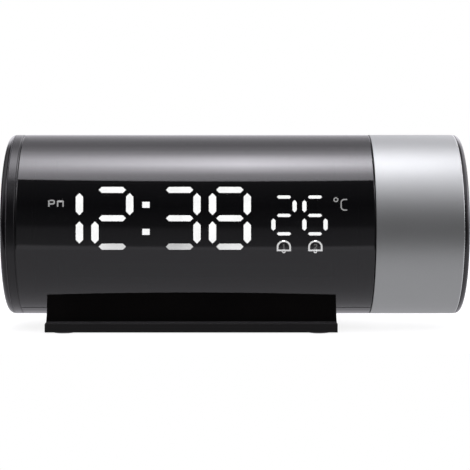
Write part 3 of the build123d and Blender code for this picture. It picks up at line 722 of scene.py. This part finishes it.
class CLOCK_OT_cradle(bpy.types.Operator):
    """Build the cradle: leaning walls under the tube, on a flange that spreads at its ends"""

    bl_idname = "clock.cradle"
    bl_label = "Cradle"

    ledge: bpy.props.FloatProperty(
        name="Ledge", description="Height of the flange's flat top, in mm", default=3.5,
    )
    cove: bpy.props.FloatProperty(
        name="Cove", description="Radius of the hollow between wall and flange, in mm", default=0.5,
    )
    bow: bpy.props.FloatProperty(
        name="Bow", description="How much lower the rims are at their ends, in mm", default=0.8,
    )
    spread: bpy.props.FloatProperty(
        name="Spread", description="How far the foot reaches past each end of the walls, in mm",
        default=0.25,
    )

    def section(self, drop):
        """Half of the cross-section as (depth, height), from the underside up to the saddle."""
        # the walls' depth at their foot and rim, and the saddle's radius with its clearance
        foot, rim, seat = 24.75, 23.5, RADIUS + 0.05
        bottom_round, fine_edge, cove_lift = 0.4, 0.006, 0.07
        low, front = CRADLE_LOW.z - 0.08, CRADLE_HIGH.y
        top = AXIS_HEIGHT - (seat**2 - rim**2) ** 0.5

        def wall(height):
            return foot + (rim - foot) * (height - self.ledge) / (top - self.ledge), height

        half = arc((front - bottom_round, low + bottom_round), bottom_round, -90, 0, 4)
        half += [(front, self.ledge - fine_edge), (front - fine_edge, self.ledge)]
        cove_middle = (foot + self.cove, self.ledge + cove_lift + self.cove)
        half += arc(cove_middle, self.cove, -93, -187, 8)
        half += [wall(height) for height in (4.8, 5.6, 6.6, 8.0)]
        rim_height = top - drop
        inner = (seat**2 - (AXIS_HEIGHT - rim_height) ** 2) ** 0.5
        half += [wall(rim_height), (inner - 0.01, rim_height)]
        first = atan2(rim_height - AXIS_HEIGHT, inner)
        steps = 20
        for step in range(1, steps):
            turn = first + (-pi / 2 - first) * step / steps
            half.append((seat * cos(turn), AXIS_HEIGHT + seat * sin(turn)))
        return half

    def execute(self, context):
        aside = 0.02
        left, right = CRADLE_LOW.x + aside, CRADLE_HIGH.x + aside
        centre, half_length = (left + right) / 2, (right - left) / 2
        bm = self.prism(left, right)
        order = bm.verts.layers.int["order"]
        spread_from = 8.0
        for vert in bm.verts:
            along = (vert.co.x - centre) / half_length
            half = self.section(self.bow * along**2)
            number = vert[order]
            mirrored = number >= len(half)
            depth, height = half[2 * len(half) - 1 - number if mirrored else number]
            vert.co.yz = (-depth if mirrored else depth, height)
            if abs(along) > 0.999 and height < spread_from:
                part = min(1.0, (spread_from - height) / (spread_from - self.ledge))
                vert.co.x += self.spread * part**1.5 * along
        bmesh.ops.recalc_face_normals(bm, faces=bm.faces)
        self.hollow(bm)
        # the cove between wall and flange takes the lighter finish: a painted highlight
        second_finish(bm, lambda middle, normal: (
            abs(middle.z - self.ledge) < 0.35 and abs(middle.y) < CRADLE_HIGH.y - 1
            and 0.6 < normal.z < 0.96
        ))
        piece = finish_piece(
            bm, "cradle_fine", "clock", ["cradle", "cove"], ["cradle"], 25,
        )
        piece.visible_glossy = False
        return {"FINISHED"}

    def prism(self, left, right, stations=24):
        """The section at the middle, drawn out from left to right. A layer numbers its points."""
        flat = self.section(0)
        outline = flat + [(-depth, height) for depth, height in reversed(flat)]
        bm = bmesh.new()
        order = bm.verts.layers.int.new("order")
        verts = [bm.verts.new((left, *point)) for point in outline]
        for number, vert in enumerate(verts):
            vert[order] = number
        end = bm.faces.new(verts)
        for station in range(stations):
            grown = grow(bm, [end], ((right - left) / stations, 0, 0))
            if station:
                bmesh.ops.delete(bm, geom=[end], context="FACES_ONLY")
            end = next(item for item in grown if isinstance(item, bmesh.types.BMFace))
        return bm

    def hollow(self, bm):
        """The recess in the underside, for the bottom plate."""
        rim_wall, depth = 0.9, 1.48
        under = [face for face in bm.faces if face.normal.z < -0.99]
        bmesh.ops.inset_region(bm, faces=under, thickness=0.5, use_boundary=True)
        for vert in {vert for face in under for vert in face.verts}:
            vert.co.x = min(max(vert.co.x, CRADLE_LOW.x + rim_wall), CRADLE_HIGH.x - rim_wall)
            vert.co.y = max(min(vert.co.y, CRADLE_HIGH.y - rim_wall), CRADLE_LOW.y + rim_wall)
        grow(bm, under, (0, 0, depth))
        bmesh.ops.delete(bm, geom=under, context="FACES_ONLY")
        bmesh.ops.recalc_face_normals(bm, faces=bm.faces)


class CLOCK_OT_display_ink(bpy.types.Operator):
    """Print the black ink that overlaps the edge of each lit segment"""

    bl_idname = "clock.display_ink"
    bl_label = "Display Ink"

    overlap: bpy.props.FloatProperty(
        name="Overlap", description="How far the ink reaches over a segment's edge, in mm",
        default=0.13,
    )

    def execute(self, context):
        lift, thickness = 0.005, 0.02
        bm = bmesh.new()
        bm.from_mesh(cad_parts["lit_segments"].data)
        bmesh.ops.scale(bm, vec=(1 / MM, 1 / MM, 1 / MM), verts=bm.verts)
        bmesh.ops.remove_doubles(bm, verts=bm.verts, dist=0.001)
        bm.normal_update()
        behind = [face for face in bm.faces if face.normal.y > -0.9]
        bmesh.ops.delete(bm, geom=behind, context="FACES")
        bmesh.ops.dissolve_limit(bm, angle_limit=radians(1), verts=bm.verts, edges=bm.edges)
        segments = bm.faces[:]
        bmesh.ops.inset_individual(bm, faces=segments, thickness=self.overlap, use_even_offset=True)
        bmesh.ops.delete(bm, geom=segments, context="FACES_ONLY")
        bmesh.ops.translate(bm, vec=(0, -lift, 0), verts=bm.verts)
        grow(bm, bm.faces[:], (0, -thickness, 0), keep=True)
        bmesh.ops.recalc_face_normals(bm, faces=bm.faces)
        finish_piece(bm, "display_ink", "clock", ["mask"])
        return {"FINISHED"}


def bell_outline(width=4.5, height=3.3):
    """An alarm bell: straight sides, a domed top and a straight foot."""
    half, dome_foot, flatness = width / 2, height * 0.38, 0.9
    dome = arc((0, dome_foot), half, 0, 180, 16)
    top = [(x, dome_foot + (y - dome_foot) * flatness) for x, y in dome]
    return [(half, 0), *top, (-half, 0)]


class CLOCK_OT_display_icons(bpy.types.Operator):
    """Draw the display's lit icons: PM, degree sign, C and the two alarm bells"""

    bl_idname = "clock.display_icons"
    bl_label = "Display Icons"

    letters_low: bpy.props.FloatProperty(
        name="Letters' foot", description="Height of the PM sign's foot on the display, in mm",
        default=19.1,
    )
    bells_low: bpy.props.FloatProperty(
        name="Bells' foot", description="Height of the bells' foot on the display, in mm",
        default=3.55,
    )

    def execute(self, context):
        sizes = context.scene.clock_sizes
        self.letters(sizes.icon_stroke)
        self.bells(sizes.bell_stroke)
        return {"FINISHED"}

    def letters(self, stroke):
        """PM beside the hours, and the degree sign and C beside the temperature."""
        p_sign, m_sign = (on_display(left, self.letters_low) for left in (4.28, 7.4))
        degree, celsius = on_display(106.69, 21.62), on_display(108.55, 17.95)
        bowl = arc((1.35, 1.65), 0.62, -90, 90, 6)
        m_shape = [(0, 0), (0, 1.9), (0.3, 2.1), (1.65, 2.1), (1.95, 1.9), (1.95, 0)]
        low_half = [(2.15, 0), (0.75, 0), (0.2, 0.45), (0, 0.95)]
        high_half = [(0, 2.8), (0.2, 3.3), (0.75, 3.75), (2.15, 3.75)]
        bm = bmesh.new()
        for place, points, weight, closed in (
            (p_sign, [(0, 0), (0, 2.27)], 1.0, False),
            (p_sign, [(0.28, 1.03), *bowl, (0.28, 2.27)], 1.0, False),
            (m_sign, m_shape, 1.0, False),
            (m_sign, [(0.25, 1.75), (1.7, 1.75)], 0.7, False),
            (degree, arc((0, 0), 0.68, 0, 345, 23), 0.8, True),
            (celsius, low_half + high_half, 0.85, False),
        ):
            ribbon(bm, place, points, stroke * weight, closed)
        finish_piece(bm, "display_letters", "clock", ["dim_icon"])

    def bells(self, stroke):
        """Two bells, each with its alarm's number inside."""
        outlines, numbers = bmesh.new(), bmesh.new()
        one = [(-0.35, 1.75), (0, 2.05), (0, 0.5)]
        two = [(-0.5, 1.8), (-0.2, 2.1), (0.3, 2.1), (0.5, 1.75), (0.4, 1.35)]
        two += [(-0.5, 0.5), (0.55, 0.5)]
        for left, number in ((88.11, one), (99.35, two)):
            place = on_display(left, self.bells_low)
            ribbon(outlines, place, bell_outline(), stroke, closed=True)
            ribbon(outlines, place, arc((0, -0.35), 0.5, 180, 360, 6), stroke * 0.6)
            ribbon(outlines, place, [(-0.45, 3.42), (0.45, 3.42)], stroke * 0.6)
            ribbon(numbers, place, number, 0.45)
        finish_piece(outlines, "alarm_bells", "clock", ["icon"])
        finish_piece(numbers, "alarm_numbers", "clock", ["faint_icon"])


class CLOCK_OT_key_signs(bpy.types.Operator):
    """Print a plain sign on each rear key"""

    bl_idname = "clock.key_signs"
    bl_label = "Key Signs"

    stroke: bpy.props.FloatProperty(
        name="Stroke", description="Width of the signs' lines, in mm", default=0.32,
    )

    def execute(self, context):
        level, upright = [(-1, 0), (1, 0)], [(0, -1), (0, 1)]
        bell = [(x * 0.42, y * 0.55 - 0.8) for x, y in bell_outline()]
        projector = [(-1, -0.25), (-1, 0.25), (-0.4, 0.25), (-0.4, -0.25)]
        # each key's closed lines and open lines
        signs = {
            "key_mode": ([], [[(-0.9, y), (0.9, y)] for y in (-0.8, 0, 0.8)]),
            "key_set": (
                [arc((0, 0), 0.9, 0, 340, 17)], [[(0, 0), (0, 0.6)], [(-0.05, 0), (0.5, 0)]],
            ),
            "key_up": ([], [level, upright]),
            "key_down": ([], [level]),
            "key_alarm": ([bell], [[(-0.25, -1.15), (0.25, -1.15)]]),
            "key_projector": (
                [projector], [[(-0.1, 0.2 * way), (1, 0.85 * way)] for way in (1, -1, 0)],
            ),
        }
        sunk = thickness = 0.03
        away = outward(KEY_DIRECTION)
        upward = ALONG_TUBE.cross(away)
        for key, kinds in signs.items():
            centre = TUBE_MIDDLE + ALONG_TUBE * sum(end.x for end in corners_mm(key)) / 2
            top = centre + away * (reach_of(key, KEY_DIRECTION) - sunk)

            def on_key(uv):
                # seen from the rear, the tube's own X runs to the left
                return top - ALONG_TUBE * uv[0] + upward * uv[1]

            bm = bmesh.new()
            for closed, lines in zip((True, False), kinds):
                for points in lines:
                    ribbon(bm, on_key, points, self.stroke, closed, thickness)
            finish_piece(bm, key + "_sign", key, ["ink"])
        return {"FINISHED"}


class CLOCK_OT_projector_optics(bpy.types.Operator):
    """Build the projector's knurled focus ring and its objective lens, flat behind"""

    bl_idname = "clock.projector_optics"
    bl_label = "Projector Optics"

    knurl_depth: bpy.props.FloatProperty(
        name="Knurl depth", description="Depth of the focus ring's ribs, in mm", default=0.22,
    )

    def execute(self, context):
        beam = outward(BEAM_DIRECTION)
        ring_low, ring_high = (end.x for end in corners_mm("focus_ring"))
        origin = Vector(((ring_low + ring_high) / 2, 0, AXIS_HEIGHT))
        rim = (ring_high - ring_low) / 2
        knurls = context.scene.clock_sizes.knurls
        # places along the beam from the tube's axis, and radii
        foot, grip, front, bore, sleeve = 19.4, 29.4, 33.3, 5.0, 6.0
        ring = [
            (foot, bore), (foot, sleeve - 0.15), (foot + 0.15, sleeve), (grip, sleeve),
            (grip, rim - 0.1), (grip + 0.1, rim), (front - 0.7, rim), (front - 0.25, rim - 0.25),
            (front, rim - 0.7), (front, bore + 0.6), (front - 0.3, bore + 0.3), (front - 1.8, bore),
        ]
        # each rib takes four steps of the turn, and its second and third are cut back
        steps = knurls * 4
        bm = spun(ring, steps, ALONG_TUBE, 360.0, origin, beam)
        across = beam.cross(ALONG_TUBE)
        for vert in bm.verts:
            out = vert.co - origin
            sideways, upward = out.dot(ALONG_TUBE), out.dot(across)
            radius = (sideways**2 + upward**2) ** 0.5
            step = round(atan2(upward, sideways) / (2 * pi) * steps)
            if radius > rim - 0.15 and out.dot(beam) > grip - 0.1 and step % 4 in (1, 2):
                outwards = (ALONG_TUBE * sideways + across * upward) / radius
                vert.co -= outwards * self.knurl_depth
        finish_piece(
            bm, "focus_ring_fine", "focus_ring", ["knurled"], ["focus_ring"], 25,
        )
        back, top, bulge, lens_radius, hold = 23.0, 26.0, 0.792, 3.9, 0.4
        lens = [(back, 0), (back, lens_radius), (back + hold, lens_radius)] + [
            (top - bulge * (radius / lens_radius) ** 2, radius)
            for radius in (lens_radius, 3.4, 2.8, 2.1, 1.4, 0.7, 0)
        ]
        finish_piece(
            spun(lens, 96, ALONG_TUBE, 360.0, origin, beam), "objective_lens_fine", "lens_cell",
            ["optic"], ["objective_lens"],
        )
        return {"FINISHED"}


class CLOCK_OT_stage(bpy.types.Operator):
    """Set the floor, the studio's light and the camera"""

    bl_idname = "clock.stage"
    bl_label = "Stage"

    distance: bpy.props.FloatProperty(
        name="Distance", description="Camera distance, in mm", default=603.0,
    )
    height: bpy.props.FloatProperty(
        name="Height", description="Camera height, in mm", default=64.9,
    )
    aside: bpy.props.FloatProperty(
        name="Aside", description="Camera's X, in mm", default=-3.49,
    )
    light_colour: bpy.props.FloatVectorProperty(
        name="Light colour", description="Tone of the studio's light", default=(0.995, 0.975, 1.04),
        size=3, subtype="COLOR", min=0, max=2,
    )

    def execute(self, context):
        scene = context.scene
        scene.view_settings.view_transform = "Standard"
        self.make_camera(scene)
        self.make_floor(scene)
        self.make_studio(scene)
        return {"FINISHED"}

    def make_camera(self, scene):
        """A long, level lens, shifted down and a little aside."""
        focal_length, image_width, shift_right, shift_up = 1616.0, 470.0, 10.0, -84.0  # in pixels
        data = bpy.data.cameras.new("camera")
        data.sensor_width = 36.0
        data.lens = data.sensor_width * focal_length / image_width
        data.shift_x = shift_right / image_width
        data.shift_y = shift_up / image_width
        camera = bpy.data.objects.new("camera", data)
        camera.location = Vector((self.aside, -self.distance, self.height)) * MM
        camera.rotation_euler = (pi / 2, 0, 0)
        scene.collection.objects.link(camera)
        scene.camera = camera

    def make_floor(self, scene):
        """A white table that ends a little way in front of the clock."""
        near, far, side = -84.0, 900.0, 700.0
        own_light, mirrored_light = 0.85, 0.78
        bm = bmesh.new()
        bmesh.ops.create_grid(bm, x_segments=1, y_segments=1, size=0.5)
        bmesh.ops.scale(bm, vec=(2 * side * MM, (far - near) * MM, 1), verts=bm.verts)
        bmesh.ops.translate(bm, vec=(0, (near + far) / 2 * MM, 0), verts=bm.verts)
        mesh = bpy.data.meshes.new("table")
        bm.to_mesh(mesh)
        bm.free()
        material, tree, shader = new_finish(
            "table_white", (0.25, 0.25, 0.25), 0.9, Emission_Strength=own_light,
        )
        shader.inputs["Emission Color"].default_value = (1, 1, 1, 1)
        # what mirrors the table sees its glow alone
        glow = tree.nodes.new("ShaderNodeEmission")
        glow.inputs["Color"].default_value = (*self.light_colour, 1)
        glow.inputs["Strength"].default_value = mirrored_light
        path = tree.nodes.new("ShaderNodeLightPath")
        surface = tree.nodes["Material Output"].inputs["Surface"]
        either(tree, path.outputs["Is Glossy Ray"], shader.outputs[0], glow.outputs[0], surface)
        mesh.materials.append(material)
        floor = bpy.data.objects.new("table", mesh)
        scene.collection.objects.link(floor)

    def make_studio(self, scene):
        """A long softbox above the front, a dark room before the clock and white behind it."""
        # each profile holds (bearing in degrees from the front over the top, radiance)
        softbox = [
            (-180, 0.9), (-27.5, 0.9), (-26, 0.35), (-6, 0.25), (0, 0.09), (25, 0.02), (57.8, 0.1),
            (58.6, 3.5), (70, 5.4), (84, 8.3), (92, 7.5), (102, 4.3), (112, 2.0), (122, 1.1),
            (132, 0.9), (180, 1.1),
        ]
        lamp = [(-180, 0), (68, 0), (84, 7.0), (103, 0), (180, 0)]
        wings = [
            (-180, 0.5), (-60, 0.1), (0, 0.05), (30, 0.25), (50, 3.0), (60, 1.6), (75, 0.05),
            (120, 0.05), (150, 2.5), (180, 1.0),
        ]
        # the sideways part of a direction at the lamp's middle, and at the softbox's ends
        lamp_middle, lamp_reach = 0.012, 0.15
        softbox_left, softbox_right, softbox_fade = -0.19, 0.09, 0.06
        # the room as only the rounded ends see it, to the left and to the right
        left_room = [
            (-180, 0.02), (0, 0.01), (30, 0.08), (60, 1.0), (90, 1.6), (120, 0.7), (150, 0.1),
            (180, 0.05),
        ]
        right_room = [
            (-180, 0.25), (0, 0.15), (30, 0.6), (60, 1.1), (90, 1.9), (120, 2.0), (150, 1.5),
            (180, 0.25),
        ]
        ends_begin, ends_fade = 0.35, 0.15
        # a tall window far to the right
        window_begins, window_fade, window_radiance = 0.86, 0.06, 1.7
        # how far the softbox's lower edge rises towards its ends, in degrees
        edge_rise = 170.0
        world = bpy.data.worlds.new("studio")
        world.use_nodes = True
        scene.world = world
        tree = world.node_tree
        nodes, links = tree.nodes, tree.links
        nodes.clear()
        calc, ranged = partial(maths, tree), partial(between, tree)
        sideways, rearward, upward = place_parts(tree, "Generated")
        bearing = calc("ARCTAN2", upward, calc("MULTIPLY", rearward, -1.0))

        def beyond(edge, fade, before=0.0, after=1.0):
            """Changes from one level to another where a direction passes an edge, sideways."""
            return ranged(sideways, edge, edge + fade, before, after, soft=True)

        # the front: the softbox and its lamp, and the wings past both of its ends
        rise = calc("MULTIPLY", calc("POWER", sideways, 2.0), radians(edge_rise))
        below_lamp = ranged(bearing, radians(60), radians(80), 1.0, 0.0)
        risen = calc("SUBTRACT", bearing, calc("MULTIPLY", rise, below_lamp))
        off_lamp = calc("ABSOLUTE", calc("SUBTRACT", sideways, lamp_middle))
        near_lamp = ranged(off_lamp, 0.0, lamp_reach, 1.0, 0.0)
        hot = calc("MULTIPLY", by_bearing(tree, bearing, lamp), near_lamp)
        past_right = beyond(softbox_right, softbox_fade)
        past_left = beyond(softbox_left, softbox_fade, 1.0, 0.0)
        front = nodes.new("ShaderNodeMix")
        front.data_type = "FLOAT"
        links.new(calc("MAXIMUM", past_left, past_right), front.inputs["Factor"])
        links.new(calc("ADD", by_bearing(tree, risen, softbox), hot), front.inputs["A"])
        links.new(by_bearing(tree, bearing, wings), front.inputs["B"])
        # the shares of the front and of what lies far to either side
        to_right = beyond(ends_begin, ends_fade)
        to_left = beyond(-ends_begin - ends_fade, ends_fade, 1.0, 0.0)
        to_middle = calc("SUBTRACT", calc("SUBTRACT", 1.0, to_left), to_right)
        window = beyond(window_begins, window_fade, 0.0, window_radiance)
        radiance = calc("MULTIPLY", window, ranged(upward, -0.1, 0.25, 0.3, 1.0, soft=True))
        for share, room in (
            (to_middle, front.outputs["Result"]),
            (to_left, by_bearing(tree, bearing, left_room)),
            (to_right, by_bearing(tree, bearing, right_room)),
        ):
            radiance = calc("ADD", radiance, calc("MULTIPLY", share, room))
        # the camera sees plain white, also through the lens, and all else sees the room
        room_light, plain_white = (nodes.new("ShaderNodeBackground") for _ in range(2))
        room_light.inputs["Color"].default_value = (*self.light_colour, 1)
        plain_white.inputs["Color"].default_value = (1, 1, 1, 1)
        links.new(radiance, room_light.inputs["Strength"])
        path = nodes.new("ShaderNodeLightPath")
        direct = calc("MAXIMUM", path.outputs["Is Camera Ray"], path.outputs["Is Transmission Ray"])
        surface = nodes.new("ShaderNodeOutputWorld").inputs["Surface"]
        either(tree, direct, room_light.outputs[0], plain_white.outputs[0], surface)


class CLOCK_PT_panel(bpy.types.Panel):
    """Shows the clock's settings and its builders' buttons in the sidebar"""

    bl_label = "Projection Alarm Clock"
    bl_idname = "CLOCK_PT_panel"
    bl_space_type = "VIEW_3D"
    bl_region_type = "UI"
    bl_category = "Clock"

    def draw(self, context):
        for group in (context.scene.clock_finishes, context.scene.clock_sizes):
            for name in group.bl_rna.properties.keys():
                if name not in ("rna_type", "name"):
                    self.layout.prop(group, name)
        for operator in OPERATORS:
            self.layout.operator(operator.bl_idname)


OPERATORS = (
    CLOCK_OT_dress_frame, CLOCK_OT_front_lens, CLOCK_OT_left_end, CLOCK_OT_head_end,
    CLOCK_OT_cradle, CLOCK_OT_display_ink, CLOCK_OT_display_icons, CLOCK_OT_key_signs,
    CLOCK_OT_projector_optics, CLOCK_OT_stage,
)
CLASSES = (ClockFinishes, ClockSizes, *OPERATORS, CLOCK_PT_panel)


def register():
    for cls in CLASSES:
        bpy.utils.register_class(cls)
    bpy.types.Scene.clock_finishes = bpy.props.PointerProperty(type=ClockFinishes)
    bpy.types.Scene.clock_sizes = bpy.props.PointerProperty(type=ClockSizes)


def unregister():
    del bpy.types.Scene.clock_sizes
    del bpy.types.Scene.clock_finishes
    for cls in reversed(CLASSES):
        bpy.utils.unregister_class(cls)


def main():
    """Builds the clock and its stage."""
    register()
    for operator in OPERATORS:
        group, name = operator.bl_idname.split(".")
        getattr(getattr(bpy.ops, group), name)()


if __name__ == "__main__":
    main()
